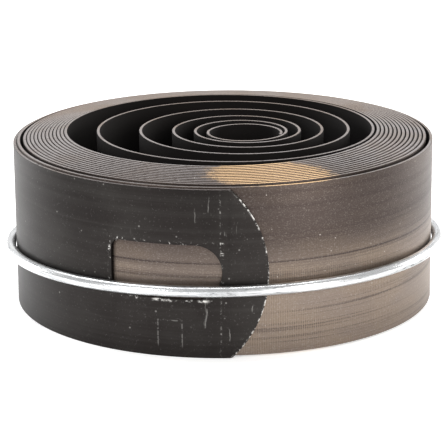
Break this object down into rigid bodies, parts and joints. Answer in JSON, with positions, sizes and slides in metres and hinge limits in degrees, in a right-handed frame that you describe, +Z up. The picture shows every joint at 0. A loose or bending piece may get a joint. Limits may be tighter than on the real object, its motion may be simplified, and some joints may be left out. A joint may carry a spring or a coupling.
{
  "type": "flat strip spiral power spring",
  "caption": "Flat steel strip wound into a spiral torsion spring, with a slotted rounded outer end and a shaft eye, bound by a wire ring.",
  "frame": {"origin": "on the axis of the retaining ring, in the plane of the outer turn's lower edge", "axes": "+Z up along the coil axis, -Y towards the front, where the rounded outer end of the strip finishes, +X to the right of the front"},
  "size_m": [0.1647, 0.1648, 0.063],
  "materials": {
    "blued_end": "blued and annealed strip end, satin, with scratches and bright nicked edges",
    "spring_strip": "tempered spring steel strip, bronze-brown, satin, with fine rolling streaks",
    "loose_strip": "tempered spring steel strip, grey-brown, satin, bright slit edges",
    "zinc_wire": "galvanised wire, bright, with dull streaks and pits"
  },
  "bodies": {
    "coil": {"outer_end": "blued_end", "packed_turn_01": "spring_strip", "packed_turn_02": "spring_strip", "packed_turn_03": "spring_strip", "packed_turn_04": "spring_strip", "packed_turn_05": "spring_strip", "packed_turn_06": "spring_strip", "packed_turn_07": "spring_strip", "packed_turn_08": "spring_strip", "packed_turn_09": "spring_strip", "packed_turn_10": "spring_strip", "packed_turn_11": "spring_strip", "packed_turn_12": "spring_strip", "packed_turn_13": "spring_strip", "loose_turn_1": "loose_strip", "loose_turn_2": "loose_strip", "loose_turn_3": "loose_strip", "loose_turn_4": "loose_strip"},
    "inner_end": {"eye_lead": "loose_strip", "shaft_eye": "loose_strip"},
    "ring": {"retaining_ring": "zinc_wire"}
  },
  "joints": [
    {"name": "wind", "type": "hinge", "parent": "coil", "child": "inner_end", "pos_m": [0.0077, -0.0011, 0.03147], "axis": [0, 0, -1], "range_deg": [0, 170], "stiffness_Nm_per_rad": 2.1, "deforming": ["loose_turn_1", "loose_turn_2", "loose_turn_3", "loose_turn_4"]},
    {"name": "ring_slide", "type": "slide", "parent": "coil", "child": "ring", "axis": [0, 0, 1], "range_m": [-0.015, 0.06]}
  ]
}
